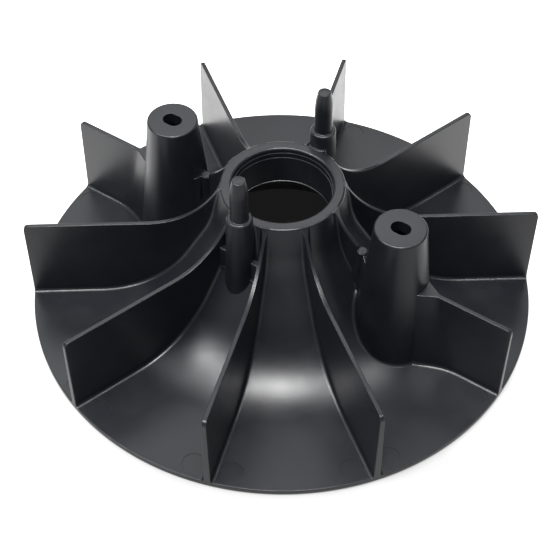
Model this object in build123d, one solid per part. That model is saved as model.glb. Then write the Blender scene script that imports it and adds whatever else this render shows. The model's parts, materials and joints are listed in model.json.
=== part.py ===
from build123d import *
import math
import os

# Moulded flywheel cooling fan for a small engine.
# Millimetres. +Z is up along the axis of rotation and z = 0 is the flat back face.
# +X runs through the middle of screw post A, with screw post B on -X.
# Locating peg A is on +Y and peg B on -Y. The B side is the A side turned half a turn.

# Disc and bell-mouth flare
DISC_R = 115.0            # outer radius of the back plate
SHELL_T = 2.5             # wall of the back plate and of the flare
RIM_ROUND = 0.4           # rounding of the rim's lower edge
FOOT_R = 83.8             # radius where the flat plate starts to rise
FOOT_ARC_R = 47.3         # concave arc at the foot of the flare
CONE_DEG = 59.5           # slope of the straight cone between the two arcs
CONE_LEN = 16.4           # slant length of that cone
NECK_ARC_R = 40.0         # concave arc between the cone and the hub wall
HUB_DEG = 80.5            # slope of the hub's outer wall

# Hub collar
HUB_TOP = 66.7            # top face of the hub ring
COLLAR_BOTTOM = 47.0      # lower end of the thick collar
BORE_R = 21.6             # main bore
BORE_STEP_R = (21.9, 22.2)    # radii of two shallow steps under the mouth
BORE_STEP_Z = (61.7, 64.2)    # heights where the two steps start
MOUTH_CHAMFER = 0.8       # chamfer at the mouth of the bore

# Blades
BLADE_COUNT = 10
BLADE_TOP = 44.7          # height of the straight top edge
BLADE_ARC_R = 34.5        # arc by which the top edge climbs to the hub ring
BLADE_HALF_T = 1.0        # half thickness at the straight top edge
BLADE_DRAFT_DEG = 0.75    # draft on each side of a blade
TIP_R = DISC_R            # a blade's outer edge is flush with the rim
TIP_ROUND = 2.4           # corner between the top edge and the outer edge

# Screw posts, in line with two opposite blades
POST_R = 58.9             # distance of a post's axis from the fan's axis
SEAT_Z = 74.2             # mounting plane: post tops and peg shoulders
POST_TOP_R = 11.3         # radius of a post's top face
POST_DRAFT_DEG = 5.5      # draft of a post and of its gussets
POST_EDGE = 0.5           # chamfer round the top of a post
POST_END_T = 6.0          # end wall under a post's top face
CORE_R = 7.0              # radius of a post's core hole at its top end
CORE_DRAFT_DEG = 1.0      # draft of the core hole, which enters from the back
SLOT_W = 6.8              # width of the radial screw slot
SLOT_L = 8.8              # length of the slot, end to end

# Gussets between a post and its blade, measured at the height of the blade's top edge
OUTER_FLANK_DEG = 28.0    # angle between a flank of the outer gusset and the blade
OUTER_HALF_W = 12.2       # half width of the outer gusset on the post's axis
INNER_FLANK_DEG = 38.0
INNER_HALF_W = 14.9
GUSSET_ROOT = 8.0         # distance from the post's axis to a gusset's end inside the post
PAD_R = 2.4               # round ejector pad in the web inside a post
PAD_POS_R = 41.5          # distance of the pad from the fan's axis
PAD_TOP = 49.6            # top of the pad

# Locating pegs on their bosses
PEG_POS_R = 32.4          # distance of a peg's axis from the fan's axis
PEG_R = 4.0               # radius of the straight part of the pin
PEG_TIP_R = 2.9           # radius of the flat on the nose
PEG_TOP = 95.8            # top of the pin
PEG_NOSE = 8.4            # length of the curved nose
NOSE_BULGE = 0.27         # how far the nose curves out past a straight cone
BOSS_R = 5.6              # radius of the boss at the shoulder
BOSS_DRAFT_DEG = 1.9      # draft of the boss
BOSS_ROUND = 0.9          # rounding of the shoulder's edge
WEB_T = 2.8               # thickness of the short webs beside a boss
WEB_TOP = 50.6            # top of those webs

# Ejector pin marks on the plate, one on each side of every blade
MARK_R = 5.0              # radius of a mark
MARK_DEPTH = 0.15
MARK_POS_R = 107.9        # distance of a mark from the fan's axis
MARK_OFFSET_DEG = 4.4     # angle between a mark and its blade

BLADE_STEP_DEG = 360.0 / BLADE_COUNT
REACH = 5.0               # how far cutting bodies reach past the part


def tan_deg(deg):
    return math.tan(math.radians(deg))


def arc_point(centre, radius, deg):
    """Point of a concave arc where its slope is deg."""
    angle = math.radians(deg)
    return centre[0] - radius * math.sin(angle), centre[1] - radius * math.cos(angle)


def flare_points(depth):
    """Key points (r, z) of the flare's outline at a depth below its top surface."""
    foot_centre = (FOOT_R, SHELL_T + FOOT_ARC_R)
    cone_low = arc_point(foot_centre, FOOT_ARC_R, CONE_DEG)
    cone = math.radians(CONE_DEG)
    cone_high = (cone_low[0] - CONE_LEN * math.cos(cone), cone_low[1] + CONE_LEN * math.sin(cone))
    neck_centre = arc_point(cone_high, -NECK_ARC_R, CONE_DEG)
    wall = arc_point(neck_centre, NECK_ARC_R + depth, HUB_DEG)
    return {
        "foot": (FOOT_R, SHELL_T - depth),
        "foot_mid": arc_point(foot_centre, FOOT_ARC_R + depth, CONE_DEG / 2),
        "cone_low": arc_point(foot_centre, FOOT_ARC_R + depth, CONE_DEG),
        "cone_high": arc_point(neck_centre, NECK_ARC_R + depth, CONE_DEG),
        "neck_mid": arc_point(neck_centre, NECK_ARC_R + depth, (CONE_DEG + HUB_DEG) / 2),
        "wall": wall,
        "top": (wall[0] - (HUB_TOP - wall[1]) / tan_deg(HUB_DEG), HUB_TOP),
    }


def solid_under(depth):
    """Solid of revolution that fills everything below the flare's outline."""
    p = flare_points(depth)
    outer_r = DISC_R + REACH
    outline = [
        Line((outer_r, p["foot"][1]), p["foot"]),
        ThreePointArc(p["foot"], p["foot_mid"], p["cone_low"]),
        Line(p["cone_low"], p["cone_high"]),
        ThreePointArc(p["cone_high"], p["neck_mid"], p["wall"]),
        Line(p["wall"], p["top"]),
        Line(p["top"], (0, HUB_TOP)),
        Line((0, HUB_TOP), (0, -REACH)),
        Line((0, -REACH), (outer_r, -REACH)),
        Line((outer_r, -REACH), (outer_r, p["foot"][1])),
    ]
    return revolve(Plane.XZ * make_face(outline), Axis.Z)


def rod(x, y, low_r, high_r, low_z, high_z):
    """Upright rod or cone standing at (x, y)."""
    height = high_z - low_z
    body = Cylinder(low_r, height) if low_r == high_r else Cone(low_r, high_r, height)
    return Pos(x, y, (low_z + high_z) / 2) * body


def tube(outer_r, inner_r, low_z, high_z):
    """Plain ring between two heights."""
    hole = rod(0, 0, inner_r, inner_r, low_z - 1, high_z + 1)
    return rod(0, 0, outer_r, outer_r, low_z, high_z) - hole


def turned(shape, deg):
    return Rot(0, 0, deg) * shape


def make_back_plate():
    plate = tube(DISC_R, FOOT_R, 0, SHELL_T)
    rim = plate.edges().filter_by(GeomType.CIRCLE).filter_by(lambda e: e.radius > FOOT_R + 1)
    plate = fillet(rim.sort_by(Axis.Z)[0], RIM_ROUND)
    mark = rod(MARK_POS_R, 0, MARK_R, MARK_R, SHELL_T - MARK_DEPTH, SHELL_T + 1)
    marks = []
    for i in range(BLADE_COUNT):
        for side in (-1, 1):
            marks.append(turned(mark, BLADE_STEP_DEG * i + side * MARK_OFFSET_DEG))
    return plate - marks


def make_flare(ground, post_core):
    shell = ground & tube(FOOT_R, 1, 0, COLLAR_BOTTOM)
    return shell - solid_under(SHELL_T) - post_core - turned(post_core, 180)


def make_hub_collar(ground):
    collar = ground & tube(FOOT_R, BORE_R, COLLAR_BOTTOM, HUB_TOP)
    for step_r, step_z in zip(BORE_STEP_R, BORE_STEP_Z):
        collar -= rod(0, 0, step_r, step_r, step_z, HUB_TOP + 1)
    mouth_r = BORE_STEP_R[-1]
    flared_r = mouth_r + 2 * MOUTH_CHAMFER
    return collar - rod(0, 0, mouth_r, flared_r, HUB_TOP - MOUTH_CHAMFER, HUB_TOP + MOUTH_CHAMFER)


def make_side_profile():
    """Side view of a blade along +X, as a slab wide enough for the gussets."""
    hub_r = flare_points(0)["top"][0]
    climb_centre_z = BLADE_TOP + BLADE_ARC_R
    climb_deg = math.degrees(math.acos((climb_centre_z - HUB_TOP) / BLADE_ARC_R))
    climb_centre = (hub_r + BLADE_ARC_R * math.sin(math.radians(climb_deg)), climb_centre_z)
    climb_start = (climb_centre[0], BLADE_TOP)
    climb_mid = arc_point(climb_centre, BLADE_ARC_R, climb_deg / 2)
    inner_r = hub_r - 1
    corner = TIP_ROUND * (1 - math.sqrt(0.5))
    outline = [
        Line((inner_r, 0), (TIP_R, 0)),
        Line((TIP_R, 0), (TIP_R, BLADE_TOP - TIP_ROUND)),
        ThreePointArc((TIP_R, BLADE_TOP - TIP_ROUND), (TIP_R - corner, BLADE_TOP - corner),
                      (TIP_R - TIP_ROUND, BLADE_TOP)),
        Line((TIP_R - TIP_ROUND, BLADE_TOP), climb_start),
        ThreePointArc(climb_start, climb_mid, (hub_r, HUB_TOP)),
        Line((hub_r, HUB_TOP), (inner_r, HUB_TOP)),
        Line((inner_r, HUB_TOP), (inner_r, 0)),
    ]
    return extrude(Plane.XZ * make_face(outline), POST_R, both=True)


def blade_half_width(z):
    return BLADE_HALF_T + (BLADE_TOP - z) * tan_deg(BLADE_DRAFT_DEG)


def make_blade_wedge():
    """Long trapezium that gives a blade its thickness and its draft."""
    low = blade_half_width(0)
    high = blade_half_width(HUB_TOP)
    section = Polyline((-low, 0), (low, 0), (high, HUB_TOP), (-high, HUB_TOP), close=True)
    return extrude(Plane.YZ * make_face(section), DISC_R)


def gusset_section(away, flank_deg, half_w, z):
    """Trapezium from inside the post to the blade at height z, as narrow there as the blade."""
    flank = math.radians(flank_deg)
    half = half_w + (BLADE_TOP - z) * tan_deg(POST_DRAFT_DEG) / math.cos(flank)
    tip_half = blade_half_width(z)
    tip_x = POST_R + away * (half - tip_half) / math.tan(flank)
    root_half = half - GUSSET_ROOT * math.tan(flank)
    root_x = POST_R + away * GUSSET_ROOT
    corners = [(root_x, -root_half, z), (tip_x, -tip_half, z), (tip_x, tip_half, z), (root_x, root_half, z)]
    return make_face(Polyline(*corners, close=True))


def make_gusset(away, flank_deg, half_w):
    """Drafted wedge on the outer (away = 1) or inner (away = -1) side of a post."""
    lower = gusset_section(away, flank_deg, half_w, 0)
    upper = gusset_section(away, flank_deg, half_w, HUB_TOP)
    return loft([lower, upper])


def make_post_core():
    """Core hole that enters a post from the back."""
    core_top = SEAT_Z - POST_END_T
    low_r = CORE_R + (core_top + REACH) * tan_deg(CORE_DRAFT_DEG)
    return rod(POST_R, 0, low_r, CORE_R, -REACH, core_top)


def make_post_body():
    """Tapered post without its holes, reaching down to the back face."""
    post = rod(POST_R, 0, POST_TOP_R + SEAT_Z * tan_deg(POST_DRAFT_DEG), POST_TOP_R, 0, SEAT_Z)
    top_edge = post.edges().filter_by(GeomType.CIRCLE).sort_by(Axis.Z)[-1]
    return chamfer(top_edge, POST_EDGE)


def make_slot():
    depth = POST_END_T + 2
    return Pos(POST_R, 0, SEAT_Z + 1 - depth) * extrude(SlotOverall(SLOT_L, SLOT_W), depth)


def post_side_nodes(ground, profile, wedge):
    """Post A with its gussets, its ejector pad and the two parts of its blade."""
    post = make_post_body()
    pad_column = rod(PAD_POS_R, 0, PAD_R, PAD_R, 0, HUB_TOP)
    outer = (make_gusset(1, OUTER_FLANK_DEG, OUTER_HALF_W) & profile) - post
    inner = (make_gusset(-1, INNER_FLANK_DEG, INNER_HALF_W) & profile) - post - pad_column - ground
    blade = ((profile & wedge) - post - outer - inner - pad_column - ground).solids().sort_by(Axis.X)
    pad = rod(PAD_POS_R, 0, PAD_R, PAD_R, 0, PAD_TOP)
    return {
        "screw_post": post - make_post_core() - make_slot() - ground,
        "outer_gusset": outer - ground,
        "inner_gusset": max(inner.solids(), key=lambda solid: solid.volume),
        "ejector_pad": pad - post - ground,
        "outer_vane": blade[-1],
        "inner_web": blade[0],
    }


def make_peg():
    nose_z = PEG_TOP - PEG_NOSE
    nose_mid = ((PEG_R + PEG_TIP_R) / 2 + NOSE_BULGE, nose_z + PEG_NOSE / 2)
    outline = [
        Line((0, SEAT_Z), (PEG_R, SEAT_Z)),
        Line((PEG_R, SEAT_Z), (PEG_R, nose_z)),
        ThreePointArc((PEG_R, nose_z), nose_mid, (PEG_TIP_R, PEG_TOP)),
        Line((PEG_TIP_R, PEG_TOP), (0, PEG_TOP)),
        Line((0, PEG_TOP), (0, SEAT_Z)),
    ]
    return Pos(0, PEG_POS_R, 0) * revolve(Plane.XZ * make_face(outline), Axis.Z)


def make_boss():
    base_r = BOSS_R + SEAT_Z * tan_deg(BOSS_DRAFT_DEG)
    boss = rod(0, PEG_POS_R, base_r, BOSS_R, 0, SEAT_Z)
    shoulder_edge = boss.edges().filter_by(GeomType.CIRCLE).sort_by(Axis.Z)[-1]
    return fillet(shoulder_edge, BOSS_ROUND)


def make_boss_web(side, boss, blade):
    """Short wall that ties a boss to the blade beside it."""
    length = PEG_POS_R * tan_deg(BLADE_STEP_DEG / 2)
    wall = Pos(side * length / 2, PEG_POS_R, WEB_TOP / 2) * Box(length, WEB_T, WEB_TOP)
    return wall - boss - blade


def peg_side_nodes(ground, blade):
    """Peg A on its boss, with a web to the blade on either side."""
    boss = make_boss()
    right = make_boss_web(1, boss, turned(blade, 90 - BLADE_STEP_DEG / 2))
    left = make_boss_web(-1, boss, turned(blade, 90 + BLADE_STEP_DEG / 2))
    return {
        "peg": make_peg(),
        "peg_boss": boss - ground,
        "boss_web_right": right - ground,
        "boss_web_left": left - ground,
    }


def build_nodes():
    ground = solid_under(0)
    profile = make_side_profile()
    wedge = make_blade_wedge()
    blade = profile & wedge
    nodes = {
        "back_plate": make_back_plate(),
        "flare": make_flare(ground, make_post_core()),
        "hub_collar": make_hub_collar(ground),
    }
    plain_blade = blade - ground
    for i in range(BLADE_COUNT):
        if i % (BLADE_COUNT // 2) != 0:
            nodes[f"blade_{i + 1:02d}"] = turned(plain_blade, BLADE_STEP_DEG * i)
    side_a = post_side_nodes(ground, profile, wedge) | peg_side_nodes(ground, blade)
    for name, shape in side_a.items():
        nodes[f"{name}_a"] = shape
        nodes[f"{name}_b"] = turned(shape, 180)
    return nodes


os.makedirs("parts", exist_ok=True)
for name, shape in build_nodes().items():
    export_step(shape, f"parts/{name}.step")
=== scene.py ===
import json
import math

import bpy
import numpy as np
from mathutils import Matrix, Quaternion, Vector


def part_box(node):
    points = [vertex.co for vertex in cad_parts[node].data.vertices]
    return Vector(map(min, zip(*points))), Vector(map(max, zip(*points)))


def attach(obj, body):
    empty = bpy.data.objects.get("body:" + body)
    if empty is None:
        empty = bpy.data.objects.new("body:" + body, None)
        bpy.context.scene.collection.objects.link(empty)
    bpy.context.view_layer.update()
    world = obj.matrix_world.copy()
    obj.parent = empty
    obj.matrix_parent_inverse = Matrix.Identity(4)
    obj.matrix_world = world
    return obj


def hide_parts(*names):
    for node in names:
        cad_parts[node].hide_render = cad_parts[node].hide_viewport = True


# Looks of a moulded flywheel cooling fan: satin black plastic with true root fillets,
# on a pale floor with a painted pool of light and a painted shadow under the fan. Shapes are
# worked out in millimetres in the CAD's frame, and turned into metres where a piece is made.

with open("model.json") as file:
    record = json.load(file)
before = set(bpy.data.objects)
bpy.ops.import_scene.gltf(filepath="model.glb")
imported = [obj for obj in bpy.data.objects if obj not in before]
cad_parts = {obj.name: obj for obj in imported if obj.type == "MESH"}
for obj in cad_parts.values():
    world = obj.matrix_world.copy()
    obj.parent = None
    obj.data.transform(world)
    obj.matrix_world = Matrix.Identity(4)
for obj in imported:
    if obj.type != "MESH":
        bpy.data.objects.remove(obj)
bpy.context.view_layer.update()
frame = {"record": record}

MM = 0.001
MOUNTS = {m["name"]: m for m in frame["record"]["mounts"]}


def node_high(node, axis):
    """Highest coordinate of a CAD node, in millimetres."""
    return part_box(node)[1][axis] / MM


def node_low(node, axis):
    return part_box(node)[0][axis] / MM


# Sizes read from the frame
RIM_R = node_high("back_plate", 0)
PLATE_T = node_high("back_plate", 2)
FOOT_R = node_high("flare", 0)
HUB_TOP = node_high("hub_collar", 2)
COLLAR_BOTTOM = node_low("hub_collar", 2)
TIP_R = node_high("outer_vane_a", 0)
BLADE_TOP = node_high("outer_vane_a", 2)
SEAT_Z = node_high("screw_post_a", 2)
PAD_TOP = node_high("ejector_pad_a", 2)
WEB_TOP = node_high("boss_web_left_a", 2)
WEB_HALF_T = (node_high("boss_web_left_a", 1) - node_low("boss_web_left_a", 1)) / 2
PEG_TOP = node_high("peg_a", 2)
PAD_POS_R = (node_high("ejector_pad_a", 0) + node_low("ejector_pad_a", 0)) / 2
PAD_R = (node_high("ejector_pad_a", 0) - node_low("ejector_pad_a", 0)) / 2
BORE_R = MOUNTS["hub_bore"]["dims"]["r_mm"]
POST_R = MOUNTS["screen_screws"]["dims"]["spacing_x_mm"] / 2
SLOT_R = MOUNTS["screen_screws"]["dims"]["hole_r_mm"]
SLOT_L = MOUNTS["screen_screws"]["dims"]["slot_length_mm"]
PEG_POS_R = MOUNTS["peg_a"]["pos_m"][1] / MM
PEG_R = MOUNTS["peg_a"]["dims"]["r_mm"]
PEG_STRAIGHT = MOUNTS["peg_a"]["dims"]["length_mm"]

# Outline of the disc, as in the CAD
SHELL_T = PLATE_T
FOOT_ARC_R = 47.3
CONE_DEG = 59.5
CONE_LEN = 16.4
NECK_ARC_R = 40.0
HUB_DEG = 80.5
BORE_STEPS = ((21.9, 61.7), (22.2, 64.2))    # (radius, height where it starts)
MOUTH_CHAMFER = 0.8

# Blades, posts, gussets and bosses, as in the CAD
BLADE_COUNT = 10
BLADE_STEP_DEG = 360 / BLADE_COUNT
BLADE_ARC_R = 34.5
BLADE_HALF_T = 1.0
BLADE_DRAFT_DEG = 0.75
TIP_ROUND = 2.4
POST_TOP_R = 11.3
POST_DRAFT_DEG = 5.5
POST_END_T = 6.0
CORE_R = 7.0
CORE_DRAFT_DEG = 1.0
OUTER_GUSSET = (1, 28.0, 12.2)               # (side, flank angle, half width on the post's axis)
INNER_GUSSET = (-1, 38.0, 14.9)
BOSS_R = 5.6
BOSS_DRAFT_DEG = 1.9
PEG_TIP_R = 2.9
NOSE_BULGE = 0.27
MARK_R = 5.0
MARK_DEPTH = 0.15
MARK_POS_R = 107.9
MARK_OFFSET_DEG = 4.4

# Roundings that only the looks have
ROOT_FILLET = 1.5         # where blades and posts meet the disc
BOSS_FILLET = 0.9
BLADE_EDGE = 0.35         # along the free edges of a blade
RING_EDGE = 1.2           # outer edge of the hub ring
MOUTH_EDGE = 1.2          # inner edge of the hub ring
POST_EDGE = 0.9           # top edge of a post
SLOT_EDGE = 0.12          # edge of a screw slot
SHOULDER_EDGE = 0.9       # edge of a peg's shoulder
RIM_EDGE = 0.4            # edges of the plate's rim
BORE_LIP = 0.2            # inward step at the lower end of the bore
BORE_LIP_H = 0.4          # height of that step
SUNK = 0.4                # how deep a piece's hidden foot goes into the disc

TURN_STEPS = 288          # segments of the disc
ROUND_STEPS = 5           # rows of faces in a rounding


# ---------------------------------------------------------------- outlines

def arc(centre, radius, deg_from, deg_to, steps):
    """Points of a concave arc that hangs below its centre, given by its slope."""
    slopes = np.radians(np.linspace(deg_from, deg_to, steps + 1))
    return [(centre[0] - radius * math.sin(a), centre[1] - radius * math.cos(a)) for a in slopes]


def tan_deg(deg):
    return math.tan(math.radians(deg))


FOOT_CENTRE = (FOOT_R, PLATE_T + FOOT_ARC_R)
CONE_LOW = arc(FOOT_CENTRE, FOOT_ARC_R, CONE_DEG, CONE_DEG, 0)[0]
CONE_HIGH = (CONE_LOW[0] - CONE_LEN * math.cos(math.radians(CONE_DEG)),
             CONE_LOW[1] + CONE_LEN * math.sin(math.radians(CONE_DEG)))
NECK_CENTRE = arc(CONE_HIGH, -NECK_ARC_R, CONE_DEG, CONE_DEG, 0)[0]
WALL_LOW = arc(NECK_CENTRE, NECK_ARC_R, HUB_DEG, HUB_DEG, 0)[0]
HUB_R = WALL_LOW[0] - (HUB_TOP - WALL_LOW[1]) / tan_deg(HUB_DEG)


def bell(depth, foot_steps, neck_steps):
    """Outline of the flare at a depth below its top surface, from the foot up to the hub wall."""
    foot = arc(FOOT_CENTRE, FOOT_ARC_R + depth, 0, CONE_DEG, foot_steps)
    neck = arc(NECK_CENTRE, NECK_ARC_R + depth, CONE_DEG, HUB_DEG, neck_steps)
    return foot + neck


# The ground that everything else stands on: ring face, hub wall, flare and plate
GROUND = np.array([(0, HUB_TOP), (HUB_R, HUB_TOP)] + bell(0, 60, 40)[::-1] + [(RIM_R + 5, PLATE_T)])


def ground_height(r):
    return np.interp(r, GROUND[:, 0], GROUND[:, 1])


def nearest_ground(r, z):
    """Nearest points of the ground to the points (r, z)."""
    p = np.stack(np.broadcast_arrays(r, z), -1)[..., None, :]
    start, run = GROUND[:-1], GROUND[1:] - GROUND[:-1]
    t = np.clip(((p - start) * run).sum(-1) / (run ** 2).sum(-1), 0, 1)
    near = start + t[..., None] * run
    best = ((near - p) ** 2).sum(-1).argmin(-1)
    return np.take_along_axis(near, best[..., None, None], -2)[..., 0, :]


def above_ground(r, z):
    """Distance from the ground, negative inside the disc."""
    near = nearest_ground(r, z)
    distance = np.hypot(near[..., 0] - r, near[..., 1] - z)
    return np.where(z >= ground_height(r), distance, -distance)


def eased(distance, radius):
    """How far a rounding of that radius reaches sideways at a distance from its edge."""
    u = 1 - np.clip(distance / radius, 0, 1)
    return radius * (1 - np.sqrt(1 - u ** 2))


def round_rows(size):
    """Steps from 0 to size, closest together where a rounding turns fastest."""
    return size * (1 - np.cos(np.linspace(0, math.pi / 2, ROUND_STEPS + 1)))


# ---------------------------------------------------------------- meshes

def make_piece(name, points, faces, material, nodes):
    """Piece from points in millimetres, standing for some CAD nodes."""
    mesh = bpy.data.meshes.new(name)
    mesh.from_pydata([tuple(p) for p in np.asarray(points) * MM], [], faces)
    mesh.validate()
    piece = bpy.data.objects.new(name, mesh)
    bpy.context.scene.collection.objects.link(piece)
    finish_piece(piece, material, nodes)
    return piece


def finish_piece(piece, material, nodes):
    """Smooth shading with crisp creases, the material, and the piece's place in the frame."""
    mesh = piece.data
    mesh.shade_smooth()
    mesh.set_sharp_from_angle(angle=math.radians(40))
    mesh.materials.clear()
    mesh.materials.append(material)
    weighted = piece.modifiers.new("weighted_normals", "WEIGHTED_NORMAL")
    weighted.keep_sharp = True
    weighted.weight = 100
    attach(piece, "root")
    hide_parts(*nodes)


def turned(points, deg):
    """Points turned about the fan's axis."""
    c, s = math.cos(math.radians(deg)), math.sin(math.radians(deg))
    points = np.asarray(points, float)
    x, y, z = points.T
    return np.stack([c * x - s * y, s * x + c * y, z], -1)


def ring_faces(rings, count, closed):
    """Faces between rings of count points each, and from the last ring to the first if closed."""
    faces = []
    for i in range(rings if closed else rings - 1):
        a, b = i * count, (i + 1) % rings * count
        for k in range(count):
            n = (k + 1) % count
            faces.append((a + k, a + n, b + n, b + k))
    return faces


# ---------------------------------------------------------------- disc

def disc_outline():
    """Closed outline (r, z) of plate, flare and hub, starting on the bore and going outwards over the top."""
    (step_1_r, step_1_z), (step_2_r, step_2_z) = BORE_STEPS
    mouth_r = step_2_r + MOUTH_CHAMFER
    ring_centre = (HUB_R - RING_EDGE, HUB_TOP - RING_EDGE)
    ring_edge = [(ring_centre[0] + RING_EDGE * math.sin(a), ring_centre[1] + RING_EDGE * math.cos(a))
                 for a in np.radians(np.linspace(0, HUB_DEG, ROUND_STEPS + 1))]
    rim_top = [(RIM_R - RIM_EDGE + RIM_EDGE * math.sin(a), PLATE_T - RIM_EDGE + RIM_EDGE * math.cos(a))
               for a in np.radians(np.linspace(0, 90, ROUND_STEPS))]
    rim_low = [(r, PLATE_T - z) for r, z in rim_top[::-1]]
    under = bell(SHELL_T, 24, 8)
    under = [p for p in under if p[1] < COLLAR_BOTTOM]
    mouth_centre_r = mouth_r + MOUTH_EDGE - MOUTH_CHAMFER
    mouth = [(mouth_centre_r - MOUTH_EDGE * math.sin(a), HUB_TOP - MOUTH_EDGE * (1 - math.cos(a)))
             for a in np.radians(np.linspace(90, 0, ROUND_STEPS + 2))]
    return [
        (BORE_R - BORE_LIP, COLLAR_BOTTOM), (BORE_R - BORE_LIP, COLLAR_BOTTOM + BORE_LIP_H),
        (BORE_R, COLLAR_BOTTOM + BORE_LIP_H + 0.1),
        (BORE_R, step_1_z - 0.03), (step_1_r, step_1_z + 0.03),
        (step_1_r, step_2_z - 0.03), (step_2_r, step_2_z + 0.03),
        *mouth, ((mouth_r + HUB_R) / 2, HUB_TOP),
        *ring_edge, *bell(0, 28, 14)[::-1], (RIM_R - 8, PLATE_T), *rim_top, *rim_low,
        (RIM_R - 8, 0), *under, (under[-1][0], COLLAR_BOTTOM), (BORE_R + 3, COLLAR_BOTTOM)]


def make_disc(material):
    """Plate, flare and hub as one turned body, cut by the post cores and the ejector marks."""
    outline = disc_outline()
    angles = np.linspace(0, 2 * math.pi, TURN_STEPS, endpoint=False)
    points = [(r * math.cos(a), r * math.sin(a), z) for r, z in outline for a in angles]
    faces = ring_faces(len(outline), TURN_STEPS, closed=True)
    body = plain_object("disc_body", points, faces)
    cutter = plain_object("disc_cutter", *cutter_mesh())
    cut = body.modifiers.new("cut", "BOOLEAN")
    cut.operation = "DIFFERENCE"
    cut.solver = "EXACT"
    cut.object = cutter
    bpy.context.view_layer.update()
    mesh = bpy.data.meshes.new_from_object(body.evaluated_get(bpy.context.evaluated_depsgraph_get()))
    bpy.data.objects.remove(body)
    bpy.data.objects.remove(cutter)
    disc = bpy.data.objects.new("disc_and_hub", mesh)
    bpy.context.scene.collection.objects.link(disc)
    finish_piece(disc, material, ["back_plate", "flare", "hub_collar"])


def plain_object(name, points, faces):
    mesh = bpy.data.meshes.new(name)
    mesh.from_pydata([tuple(p) for p in np.asarray(points) * MM], [], faces)
    body = bpy.data.objects.new(name, mesh)
    bpy.context.scene.collection.objects.link(body)
    return body


def rod_mesh(x, y, low_r, high_r, low_z, high_z, count, first):
    """Points and faces of a capped rod or cone, whose points are numbered from first."""
    angles = np.linspace(0, 2 * math.pi, count, endpoint=False)
    points = [(x + r * math.cos(a), y + r * math.sin(a), z) for r, z in ((low_r, low_z), (high_r, high_z))
              for a in angles]
    faces = [tuple(first + k for k in range(count))[::-1], tuple(first + count + k for k in range(count))]
    faces += [(first + k, first + (k + 1) % count, first + count + (k + 1) % count, first + count + k)
              for k in range(count)]
    return points, faces


def cutter_mesh():
    """Core holes of the posts and the shallow ejector marks."""
    core_low_r = CORE_R + (SEAT_Z - POST_END_T + 2) * tan_deg(CORE_DRAFT_DEG) + 0.02
    shapes = [(side * POST_R, 0, core_low_r, CORE_R, -2, SEAT_Z - POST_END_T, 64) for side in (1, -1)]
    for i in range(BLADE_COUNT):
        for side in (1, -1):
            a = math.radians(BLADE_STEP_DEG * i + side * MARK_OFFSET_DEG)
            x, y = MARK_POS_R * math.cos(a), MARK_POS_R * math.sin(a)
            shapes.append((x, y, MARK_R - 0.1, MARK_R + 0.1, PLATE_T - MARK_DEPTH, PLATE_T + MARK_DEPTH, 48))
    points, faces = [], []
    for shape in shapes:
        new_points, new_faces = rod_mesh(*shape, first=len(points))
        points += new_points
        faces += new_faces
    return points, faces


# ---------------------------------------------------------------- blades and other fins

CLIMB_CENTRE_Z = BLADE_TOP + BLADE_ARC_R
CLIMB_START = HUB_R + math.sqrt(BLADE_ARC_R ** 2 - (CLIMB_CENTRE_Z - HUB_TOP) ** 2)


def blade_outline():
    """Free outline of a blade seen from the side, from the hub over the top and down the tip."""
    top_deg = math.degrees(math.asin((CLIMB_START - HUB_R) / BLADE_ARC_R))
    climb = arc((CLIMB_START, CLIMB_CENTRE_Z), BLADE_ARC_R, top_deg, 0, 40)
    corner = [(TIP_R - TIP_ROUND + TIP_ROUND * math.sin(a), BLADE_TOP - TIP_ROUND + TIP_ROUND * math.cos(a))
              for a in np.radians(np.linspace(0, 90, 9))]
    climb[0] = (HUB_R, HUB_TOP - 0.05)
    return np.array([(HUB_R - 3, HUB_TOP - 0.05)] + climb + corner + [(TIP_R, -5)])


BLADE_OUTLINE = blade_outline()


def blade_top(x):
    """Height of a blade's top edge at a distance from the fan's axis."""
    return np.interp(x, BLADE_OUTLINE[:-1, 0], BLADE_OUTLINE[:-1, 1])


def blade_edge_distance(x, z):
    """Distance from a blade's free outline."""
    p = np.stack(np.broadcast_arrays(x, z), -1)[..., None, :]
    start, run = BLADE_OUTLINE[:-1], BLADE_OUTLINE[1:] - BLADE_OUTLINE[:-1]
    t = np.clip(((p - start) * run).sum(-1) / (run ** 2).sum(-1), 0, 1)
    return np.sqrt(((start + t[..., None] * run - p) ** 2).sum(-1)).min(-1)


def blade_half_width(x, z):
    return BLADE_HALF_T + (BLADE_TOP - z) * tan_deg(BLADE_DRAFT_DEG) + 0 * x


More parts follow.
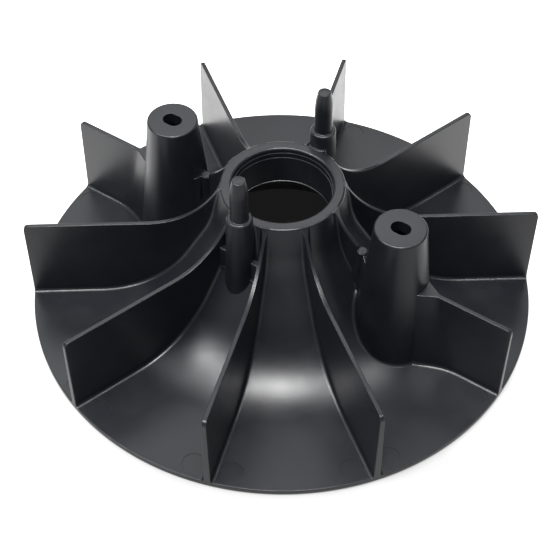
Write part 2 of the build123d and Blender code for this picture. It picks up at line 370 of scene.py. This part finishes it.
def fin_side(side, columns, lean, top, half_width, edge_distance, fillet, base, along):
    """Grid of points over one side of a fin that stands on the disc.

    columns are positions along the fin, and lean(u, z) is where column u is at height z.
    The fin starts at base, in plan, and runs along the unit vector along.
    """
    across = side * np.array([-along[1], along[0]])

    def reach(x, y):
        px = base[0] + x * along[0] + y * across[0]
        py = base[1] + x * along[1] + y * across[1]
        return np.hypot(px, py)

    high = np.full(len(columns), 0.0)
    low = np.full(len(columns), 0.0)
    for _ in range(12):
        high = top(lean(columns, high))
        x = lean(columns, low)
        low = ground_height(reach(x, half_width(x, low) + fillet))
    low = np.minimum(low, high - SUNK)
    x = lean(columns, low)
    rise = np.maximum(above_ground(reach(x, half_width(x, low) + fillet), low + 0.2), 0.02) / 0.2
    fall = np.maximum(edge_distance(lean(columns, high), high - 0.2), 0.02) / 0.2
    room = high - low
    foot = np.minimum(fillet / rise, 0.6 * room)
    crest = np.minimum(BLADE_EDGE / fall, 0.4 * room)
    rows = [low + foot * t for t in round_rows(1)]
    rows += [low + foot + (room - foot - crest) * t for t in (1 / 3, 2 / 3)]
    rows += [high - crest * t for t in round_rows(1)[::-1]]
    z = np.array(rows).T
    x = lean(columns[:, None], z)
    y = half_width(x, z)
    for _ in range(5):
        y = half_width(x, z) + eased(np.maximum(above_ground(reach(x, y), z), 0), fillet)
    y = y - eased(edge_distance(x, z), BLADE_EDGE)
    hidden = (x[:, :1], y[:, :1], z[:, :1] - SUNK)
    x, y, z = (np.concatenate([h, v], 1) for h, v in zip(hidden, (x, y, z)))
    px = base[0] + x * along[0] + y * across[0]
    py = base[1] + x * along[1] + y * across[1]
    return np.stack([px, py, z], -1)


def make_fin(columns, lean, top, half_width, edge_distance, fillet, base=(0, 0), along=(1, 0)):
    """Points and faces of a closed fin with root fillets and rounded free edges."""
    args = (np.asarray(columns, float), lean, top, half_width, edge_distance, fillet, base, along)
    left, right = fin_side(1, *args), fin_side(-1, *args)
    loop = np.concatenate([right, left[:, ::-1]], 1)
    count, size = loop.shape[:2]
    faces = ring_faces(count, size, closed=False)
    half = size // 2
    for row in range(half - 1):
        a, b, c, d = row, row + 1, size - 2 - row, size - 1 - row
        faces.append((a, b, c, d))
        last = (count - 1) * size
        faces.append((last + d, last + c, last + b, last + a))
    return loop.reshape(-1, 3), faces


def joined(first, second):
    """Two meshes as one."""
    count = len(first[0])
    faces = list(first[1]) + [tuple(count + k for k in face) for face in second[1]]
    return np.concatenate([first[0], second[0]]), faces


def upright(u, z):
    return u + 0 * z


def tip_columns():
    """Positions of a blade's last columns, close together where its outer corner turns."""
    corner = TIP_R - TIP_ROUND + TIP_ROUND * np.sin(np.linspace(0, math.pi / 2, 7))
    edge = TIP_R - round_rows(BLADE_EDGE)[::-1]
    return sorted(set(np.round(np.concatenate([corner, edge]), 4)))


def hub_columns(far):
    """Positions of a blade's first columns, close together at the hub."""
    return list(HUB_R - RING_EDGE + (far - HUB_R + RING_EDGE) * np.linspace(0, 1, 26) ** 1.7)


def plain_blade_mesh():
    middle = list(np.linspace(CLIMB_START, TIP_R - TIP_ROUND, 14)[1:-1])
    columns = hub_columns(CLIMB_START) + middle + tip_columns()
    return make_fin(columns, upright, blade_top, blade_half_width, blade_edge_distance, ROOT_FILLET)


def make_blades(material):
    points, faces = plain_blade_mesh()
    for i in range(BLADE_COUNT):
        if i % (BLADE_COUNT // 2) != 0:
            name = f"blade_{i + 1:02d}"
            make_piece("plastic_" + name, turned(points, BLADE_STEP_DEG * i), faces, material, [name])


# ---------------------------------------------------------------- posts and their gussets

def flank_half_width(gusset, x, z):
    """Half width of a gusset at distance x from the fan's axis."""
    side, flank_deg, half_w = gusset
    grown = half_w + (BLADE_TOP - z) * tan_deg(POST_DRAFT_DEG) / math.cos(math.radians(flank_deg))
    return grown - side * (x - POST_R) * tan_deg(flank_deg)


def gusset_tip(gusset, z):
    """Where a gusset thins down to the blade's width at height z."""
    side, flank_deg, half_w = gusset
    grown = half_w + (BLADE_TOP - z) * tan_deg(POST_DRAFT_DEG) / math.cos(math.radians(flank_deg))
    return POST_R + side * (grown - blade_half_width(0, z)) / tan_deg(flank_deg)


def gusset_width(gusset):
    """Half width of blade and gusset together, with a crease that softens towards the disc."""
    def width(x, z):
        blade, flank = blade_half_width(x, z), flank_half_width(gusset, x, z)
        soft = 0.6 + 0.09 * np.maximum(BLADE_TOP - z, 0)
        near = np.maximum(soft - np.abs(blade - flank), 0) / soft
        return np.maximum(blade, flank) + near ** 2 * soft / 4
    return width


def outer_vane_mesh():
    """Outer part of a post's blade with its gusset.

    Columns 0 to 1 lie on the gusset, and the rest on the vane.
    """
    inner_end = POST_R + 6

    def lean(u, z):
        crease = gusset_tip(OUTER_GUSSET, z)
        on_gusset = inner_end + (crease - inner_end) * u
        on_vane = crease + (TIP_R - crease) * (u - 1)
        return np.where(u < 1, on_gusset, on_vane)

    crease_top = gusset_tip(OUTER_GUSSET, BLADE_TOP)
    ends = 1 + (np.array(tip_columns()) - crease_top) / (TIP_R - crease_top)
    on_vane = 1 + np.linspace(0, 1, 18)[1:-1] ** 1.4 * 0.93
    columns = sorted(list(np.linspace(0, 1, 18)) + list(on_vane) + list(ends))
    return make_fin(columns, lean, blade_top, gusset_width(OUTER_GUSSET), blade_edge_distance, ROOT_FILLET)


def inner_web_mesh():
    """Inner part of a post's blade with its gusset. It leaves the ejector pad's column free."""
    outer_start = PAD_POS_R + 0.6 * PAD_R

    def lean(u, z):
        crease = gusset_tip(INNER_GUSSET, z)
        on_web = outer_start + (crease - outer_start) * u
        on_gusset = crease + (POST_R - 6 - crease) * (u - 1)
        return np.where(u < 1, on_web, on_gusset)

    columns = list(np.linspace(0, 1, 6)) + list(1 + np.linspace(0, 1, 16)[1:])
    width = gusset_width(INNER_GUSSET)
    outer = make_fin(columns, lean, blade_top, width, blade_edge_distance, ROOT_FILLET)
    columns = hub_columns(PAD_POS_R - 0.9 * PAD_R)
    inner = make_fin(columns, upright, blade_top, blade_half_width, blade_edge_distance, ROOT_FILLET)
    return joined(inner, outer)


def foot_rows(centre, radius_at, draft_deg, fillet, angles):
    """Rows of points from inside the disc, over a rolling-ball fillet, to the side of an upright column."""
    draft = math.radians(draft_deg)
    plan = np.stack([np.cos(angles), np.sin(angles)], -1)

    def ball(height):
        out = radius_at(height) + fillet * math.cos(draft)
        xy = np.asarray(centre) + out[:, None] * plan
        return xy, height + fillet * math.sin(draft)

    low, high = np.full(len(angles), -5.0), np.full(len(angles), SEAT_Z)
    for _ in range(40):
        middle = (low + high) / 2
        xy, z = ball(middle)
        clear = above_ground(np.hypot(xy[:, 0], xy[:, 1]), z) > fillet
        high = np.where(clear, middle, high)
        low = np.where(clear, low, middle)
    xy, z = ball(high)
    r = np.hypot(xy[:, 0], xy[:, 1])
    near = nearest_ground(r, z)
    centre_3d = np.concatenate([xy, z[:, None]], 1)
    to_ground = np.concatenate([xy * ((near[:, 0] - r) / r)[:, None], (near[:, 1] - z)[:, None]], 1)
    to_ground /= np.linalg.norm(to_ground, axis=1)[:, None]
    to_side = np.concatenate([-plan * math.cos(draft), np.full((len(angles), 1), -math.sin(draft))], 1)
    turn = np.arccos(np.clip((to_ground * to_side).sum(1), -1, 1))
    rows = [centre_3d + (fillet + SUNK) * to_ground]
    for t in np.linspace(0, 1, ROUND_STEPS + 3):
        mix = (np.sin((1 - t) * turn)[:, None] * to_ground + np.sin(t * turn)[:, None] * to_side)
        rows.append(centre_3d + fillet * mix / np.sin(turn)[:, None])
    return rows


def slot_radius(angles, grow):
    """Distance from a slot's centre to its edge, for a radial slot grown by some width."""
    half_flat = SLOT_L / 2 - SLOT_R
    r = SLOT_R + grow
    c, s = np.abs(np.cos(angles)), np.abs(np.sin(angles))
    flat = r / np.maximum(s, 1e-6)
    round_end = half_flat * c + np.sqrt(np.maximum(r ** 2 - (half_flat * s) ** 2, 0))
    return np.where(flat * c < half_flat, flat, round_end)


def post_mesh():
    """Post A: fillet, tapered side, rounded top edge, slot and core hole."""
    count = 144
    angles = np.linspace(0, 2 * math.pi, count, endpoint=False)
    plan = np.stack([np.cos(angles), np.sin(angles)], -1)
    centre = np.array([POST_R, 0])

    def side_radius(z):
        return POST_TOP_R + (SEAT_Z - z) * tan_deg(POST_DRAFT_DEG)

    def ring(radius, height):
        xy = centre + np.broadcast_to(radius, (count,))[:, None] * plan
        return np.concatenate([xy, np.broadcast_to(height, (count,))[:, None]], 1)

    rows = foot_rows(centre, side_radius, POST_DRAFT_DEG, ROOT_FILLET, angles)
    side_low = rows[-1][:, 2]
    side_high = SEAT_Z - POST_EDGE
    for t in np.linspace(0, 1, 7)[1:]:
        height = side_low + (side_high - side_low) * t
        rows.append(ring(side_radius(height), height))
    for a in np.radians(np.linspace(0, 90, ROUND_STEPS + 1))[1:]:
        inset = POST_EDGE * (1 - math.cos(a))
        height = side_high + POST_EDGE * math.sin(a)
        rows.append(ring(side_radius(side_high) - inset, height))
    face_r = side_radius(side_high) - POST_EDGE
    mouth = slot_radius(angles, SLOT_EDGE)
    rows.append(ring(mouth + (face_r - mouth) * 0.5, SEAT_Z))
    for a in np.radians(np.linspace(0, 90, 4)):
        grow = SLOT_EDGE * (1 - math.sin(a))
        rows.append(ring(slot_radius(angles, grow), SEAT_Z - SLOT_EDGE * (1 - math.cos(a))))
    core_top = SEAT_Z - POST_END_T
    rows.append(ring(slot_radius(angles, 0), core_top))
    rows.append(ring(CORE_R, core_top))
    core_low_r = CORE_R + core_top * tan_deg(CORE_DRAFT_DEG)
    core_xy = centre + core_low_r * plan
    under = ground_height(np.hypot(core_xy[:, 0], core_xy[:, 1])) - SHELL_T * 0.8
    rows.append(ring(core_low_r, under))
    rows.append(ring(core_low_r + 1, under + 0.8))
    return np.concatenate(rows), ring_faces(len(rows), count, closed=True)


def pad_mesh():
    """Ejector pad A: a round column in the inner web with a flat top."""
    count = 48
    angles = np.linspace(0, 2 * math.pi, count, endpoint=False)
    plan = np.stack([np.cos(angles), np.sin(angles)], -1)
    centre = np.array([PAD_POS_R, 0])
    edge = 0.25

    def ring(radius, height):
        return np.concatenate([centre + radius * plan, np.full((count, 1), height)], 1)

    rows = foot_rows(centre, lambda z: np.full(count, PAD_R), 0, 0.8, angles)
    rows += [ring(PAD_R, PAD_TOP - edge), ring(PAD_R - 0.3 * edge, PAD_TOP - 0.3 * edge)]
    rows += [ring(PAD_R - edge, PAD_TOP), ring(PAD_R * 0.5, PAD_TOP), ring(0.05, PAD_TOP)]
    return np.concatenate(rows), ring_faces(len(rows), count, closed=True)


def make_post_side(material):
    """Both posts with the parts around them. Side B is side A turned half a turn."""
    parts = [
        ("plastic_post_", post_mesh(), ["screw_post_"]),
        ("plastic_outer_vane_", outer_vane_mesh(), ["outer_vane_", "outer_gusset_"]),
        ("plastic_inner_web_", inner_web_mesh(), ["inner_web_", "inner_gusset_"]),
        ("plastic_ejector_pad_", pad_mesh(), ["ejector_pad_"]),
    ]
    make_both_sides(parts, material)


def make_both_sides(parts, material):
    for name, (points, faces), nodes in parts:
        for side, deg in (("a", 0), ("b", 180)):
            make_piece(name + side, turned(points, deg), faces, material, [n + side for n in nodes])


# ---------------------------------------------------------------- pegs and their bosses

def boss_mesh():
    count = 96
    angles = np.linspace(0, 2 * math.pi, count, endpoint=False)
    plan = np.stack([np.cos(angles), np.sin(angles)], -1)
    centre = np.array([0, PEG_POS_R])

    def side_radius(z):
        return BOSS_R + (SEAT_Z - z) * tan_deg(BOSS_DRAFT_DEG)

    def ring(radius, height):
        xy = centre + np.broadcast_to(radius, (count,))[:, None] * plan
        return np.concatenate([xy, np.broadcast_to(height, (count,))[:, None]], 1)

    rows = foot_rows(centre, side_radius, BOSS_DRAFT_DEG, BOSS_FILLET, angles)
    side_low = rows[-1][:, 2]
    side_high = SEAT_Z - SHOULDER_EDGE
    for t in np.linspace(0, 1, 7)[1:]:
        height = side_low + (side_high - side_low) * t
        rows.append(ring(side_radius(height), height))
    for a in np.radians(np.linspace(0, 90, ROUND_STEPS + 2))[1:]:
        inset = SHOULDER_EDGE * (1 - math.cos(a))
        rows.append(ring(side_radius(side_high) - inset, side_high + SHOULDER_EDGE * math.sin(a)))
    rows += [ring(PEG_R - 0.5, SEAT_Z), ring(0.05, SEAT_Z)]
    return np.concatenate(rows), ring_faces(len(rows), count, closed=True)


def peg_mesh():
    """Peg A: a small fillet on the shoulder, a straight pin and a curved nose."""
    count = 96
    fillet = 0.3
    nose_z = SEAT_Z + PEG_STRAIGHT
    nose = PEG_TOP - nose_z
    edge = 0.35
    outline = [(0.05, SEAT_Z - 1), (PEG_R, SEAT_Z - 1), (PEG_R + fillet, SEAT_Z - 0.02)]
    outline += [(PEG_R + eased(d, fillet), SEAT_Z + d) for d in round_rows(fillet)[1:]]
    outline += [(PEG_R, SEAT_Z + PEG_STRAIGHT * t) for t in (0.35, 0.7)]
    for t in np.linspace(0, 1, 13):
        bulge = 4 * NOSE_BULGE * t * (1 - t)
        outline.append((PEG_R + (PEG_TIP_R - PEG_R) * t + bulge, nose_z + (nose - edge) * t))
    outline += [(PEG_TIP_R - edge * (1 - math.cos(a)), PEG_TOP - edge * (1 - math.sin(a)))
                for a in np.radians((30, 60, 90))]
    outline.append((0.05, PEG_TOP))
    angles = np.linspace(0, 2 * math.pi, count, endpoint=False)
    points = [(r * math.cos(a), PEG_POS_R + r * math.sin(a), z) for r, z in outline for a in angles]
    return points, ring_faces(len(outline), count, closed=True)


def boss_web_mesh(side):
    """Short wall from boss A to the blade beside it."""
    length = PEG_POS_R * tan_deg(BLADE_STEP_DEG / 2)

    def level(x):
        return WEB_TOP + 0 * x

    def thickness(x, z):
        return WEB_HALF_T + 0 * (x + z)

    def below_top(x, z):
        return WEB_TOP - z + 0 * x

    columns = np.linspace(3, length, 12)
    return make_fin(columns, upright, level, thickness, below_top, BOSS_FILLET,
                    base=(0, PEG_POS_R), along=(side, 0))


def make_peg_side(material):
    parts = [
        ("plastic_peg_boss_", boss_mesh(), ["peg_boss_"]),
        ("plastic_peg_", peg_mesh(), ["peg_"]),
        ("plastic_boss_web_right_", boss_web_mesh(1), ["boss_web_right_"]),
        ("plastic_boss_web_left_", boss_web_mesh(-1), ["boss_web_left_"]),
    ]
    make_both_sides(parts, material)


# ---------------------------------------------------------------- materials

def new_material(name):
    """Material with its node tree and its shader."""
    material = bpy.data.materials.new(name)
    material.use_nodes = True
    return material, material.node_tree, material.node_tree.nodes["Principled BSDF"]


def noise(tree, place, scale, detail, roughness):
    node = tree.nodes.new("ShaderNodeTexNoise")
    node.inputs["Scale"].default_value = scale
    node.inputs["Detail"].default_value = detail
    node.inputs["Roughness"].default_value = roughness
    tree.links.new(place.outputs["Object"], node.inputs["Vector"])
    return node.outputs["Fac"]


def ramp(tree, value, start, end, low, high, smooth=False):
    """Value mapped from start..end to low..high."""
    node = tree.nodes.new("ShaderNodeMapRange")
    node.interpolation_type = "SMOOTHSTEP" if smooth else "LINEAR"
    node.inputs["From Min"].default_value = start
    node.inputs["From Max"].default_value = end
    node.inputs["To Min"].default_value = low
    node.inputs["To Max"].default_value = high
    tree.links.new(value, node.inputs["Value"])
    return node.outputs["Result"]


def moulded_plastic():
    """Satin black plastic: slightly uneven colour and gloss, and a fine moulded grain."""
    material, tree, shader = new_material("moulded_black_plastic")
    place = tree.nodes.new("ShaderNodeTexCoord")
    patches = noise(tree, place, 60, 8, 0.7)
    grain = noise(tree, place, 2600, 3, 0.65)
    colour = tree.nodes.new("ShaderNodeMix")
    colour.data_type = "RGBA"
    colour.inputs["A"].default_value = (0.0045, 0.0050, 0.0070, 1)
    colour.inputs["B"].default_value = (0.0070, 0.0078, 0.0100, 1)
    tree.links.new(ramp(tree, patches, 0.3, 0.7, 0, 1), colour.inputs["Factor"])
    tree.links.new(colour.outputs["Result"], shader.inputs["Base Color"])
    tree.links.new(ramp(tree, patches, 0.3, 0.7, 0.28, 0.36), shader.inputs["Roughness"])
    bump = tree.nodes.new("ShaderNodeBump")
    bump.inputs["Strength"].default_value = 0.4
    bump.inputs["Distance"].default_value = 0.0001
    tree.links.new(grain, bump.inputs["Height"])
    tree.links.new(bump.outputs["Normal"], shader.inputs["Normal"])
    shader.inputs["IOR"].default_value = 1.42
    return material


# ---------------------------------------------------------------- studio

CAMERA_TARGET = Vector((-0.00158, 0.00089, 0.00139))
CAMERA_DISTANCE = 0.65096
CAMERA_AZIMUTH_DEG = -56.51
CAMERA_ELEVATION_DEG = 49.18
CAMERA_ROLL_DEG = 0.36
LENS_MM = 89.1
SENSOR_MM = 36
LIGHT_DISTANCE = 1.6
PAINTED_GLOW_BEHIND = 2.0    # painted light: glow of the floor behind the fan, which its rear blades reflect
WALL_GLOW = 0.44           # of the wall, and of the floor elsewhere
UNDER_FAN_SHADOW_GLOW = 0.005         # share of the floor's glow left under the fan, where a painted shadow darkens it
CEILING_GLOW = 0.08

# Name, turn from straight behind the fan to the left, elevation, size, radiance
SOFTBOXES = (
    ("key_front", 180, 76, (0.5, 0.28), 86),
    ("key_left", 108, 52, (0.5, 0.28), 45),
    ("key_right", -80, 63, (0.5, 0.28), 16),
    ("key_middle", 130, 67, (0.5, 0.4), 8),
    ("wide_left", 90, 70, (0.8, 0.5), 5),
    ("wide_back", 11, 50, (1.4, 0.56), 3.7),
)


def toward(azimuth_deg, elevation_deg):
    """Unit vector from the fan in a direction."""
    azimuth, elevation = math.radians(azimuth_deg), math.radians(elevation_deg)
    flat = math.cos(elevation)
    return Vector((math.cos(azimuth) * flat, math.sin(azimuth) * flat, math.sin(elevation)))


def make_camera():
    back = toward(CAMERA_AZIMUTH_DEG, CAMERA_ELEVATION_DEG)
    data = bpy.data.cameras.new("camera")
    data.lens = LENS_MM
    data.sensor_width = SENSOR_MM
    data.clip_start = 0.05
    data.clip_end = 20
    camera = bpy.data.objects.new("camera", data)
    bpy.context.scene.collection.objects.link(camera)
    camera.location = CAMERA_TARGET + back * CAMERA_DISTANCE
    camera.rotation_mode = "QUATERNION"
    roll = Quaternion((0, 0, 1), math.radians(CAMERA_ROLL_DEG))
    camera.rotation_quaternion = (-back).to_track_quat("-Z", "Y") @ roll
    bpy.context.scene.camera = camera


def combine(tree, operation, first, second):
    node = tree.nodes.new("ShaderNodeMath")
    node.operation = operation
    tree.links.new(first, node.inputs[0])
    tree.links.new(second, node.inputs[1])
    return node.outputs["Value"]


def floor_distance(tree, operation, direction=(0, 0, 0)):
    """Distance from the fan's axis, or along a direction."""
    place = tree.nodes.new("ShaderNodeTexCoord")
    node = tree.nodes.new("ShaderNodeVectorMath")
    node.operation = operation
    node.inputs[1].default_value = direction
    tree.links.new(place.outputs["Object"], node.inputs[0])
    return node.outputs["Value"]


def floor_material():
    """Pale floor that glows in a painted pool of light, brightest behind the fan, with a painted shadow under
    it.
    """
    material, tree, shader = new_material("pale_floor")
    shader.inputs["Base Color"].default_value = (0.2, 0.2, 0.2, 1)
    shader.inputs["Roughness"].default_value = 0.9
    shader.inputs["Specular IOR Level"].default_value = 0.1
    shader.inputs["Emission Color"].default_value = (1, 1, 1, 1)
    reach = floor_distance(tree, "LENGTH")
    behind = floor_distance(tree, "DOT_PRODUCT", toward(180 + CAMERA_AZIMUTH_DEG, 0))
    # painted shadow: the floor's glow dies away under the fan
    painted_shadow_under_fan = ramp(tree, reach, (RIM_R - 8) * MM, (RIM_R + 4) * MM, UNDER_FAN_SHADOW_GLOW, 1, smooth=True)
    # painted pool of light: the floor's extra glow fades out far from the fan
    painted_pool = ramp(tree, reach, 0.28, 0.9, 1, 0, smooth=True)
    # painted light: the floor glows brighter behind the fan, for the rear blades to reflect
    painted_glow_behind = ramp(tree, behind, -0.12, 0.12, 0, PAINTED_GLOW_BEHIND - WALL_GLOW, smooth=True)
    wall = tree.nodes.new("ShaderNodeValue")
    wall.outputs["Value"].default_value = WALL_GLOW
    glow = combine(tree, "ADD", combine(tree, "MULTIPLY", painted_pool, painted_glow_behind), wall.outputs["Value"])
    tree.links.new(combine(tree, "MULTIPLY", painted_shadow_under_fan, glow), shader.inputs["Emission Strength"])
    return material


def make_floor():
    mesh = bpy.data.meshes.new("floor")
    size = 4.0
    corners = [(-size, -size, 0), (size, -size, 0), (size, size, 0), (-size, size, 0)]
    mesh.from_pydata(corners, [], [(0, 1, 2, 3)])
    mesh.materials.append(floor_material())
    floor = bpy.data.objects.new("floor", mesh)
    bpy.context.scene.collection.objects.link(floor)
    floor.location.z = -0.0005


def make_softbox(name, turn_deg, elevation_deg, size, radiance):
    """Rectangular soft light that faces the fan."""
    direction = toward(180 + CAMERA_AZIMUTH_DEG + turn_deg, elevation_deg)
    data = bpy.data.lights.new(name, "AREA")
    data.shape = "RECTANGLE"
    data.size, data.size_y = size
    data.energy = math.pi * size[0] * size[1] * radiance
    light = bpy.data.objects.new(name, data)
    bpy.context.scene.collection.objects.link(light)
    light.location = direction * LIGHT_DISTANCE
    light.rotation_mode = "QUATERNION"
    light.rotation_quaternion = (-direction).to_track_quat("-Z", "Y")


def make_backdrop():
    """Pale wall all round, darker overhead."""
    world = bpy.data.worlds.new("studio")
    world.use_nodes = True
    tree = world.node_tree
    place = tree.nodes.new("ShaderNodeTexCoord")
    split = tree.nodes.new("ShaderNodeSeparateXYZ")
    tree.links.new(place.outputs["Generated"], split.inputs["Vector"])
    fade = ramp(tree, split.outputs["Z"], 0.1, 0.6, WALL_GLOW, CEILING_GLOW, smooth=True)
    tree.links.new(fade, tree.nodes["Background"].inputs["Strength"])
    tree.nodes["Background"].inputs["Color"].default_value = (1, 1, 1, 1)
    bpy.context.scene.world = world


def make_studio():
    bpy.context.scene.view_settings.view_transform = "Standard"
    make_backdrop()
    make_floor()
    for softbox in SOFTBOXES:
        make_softbox(*softbox)
    make_camera()


plastic = moulded_plastic()
make_disc(plastic)
make_blades(plastic)
make_post_side(plastic)
make_peg_side(plastic)
make_studio()
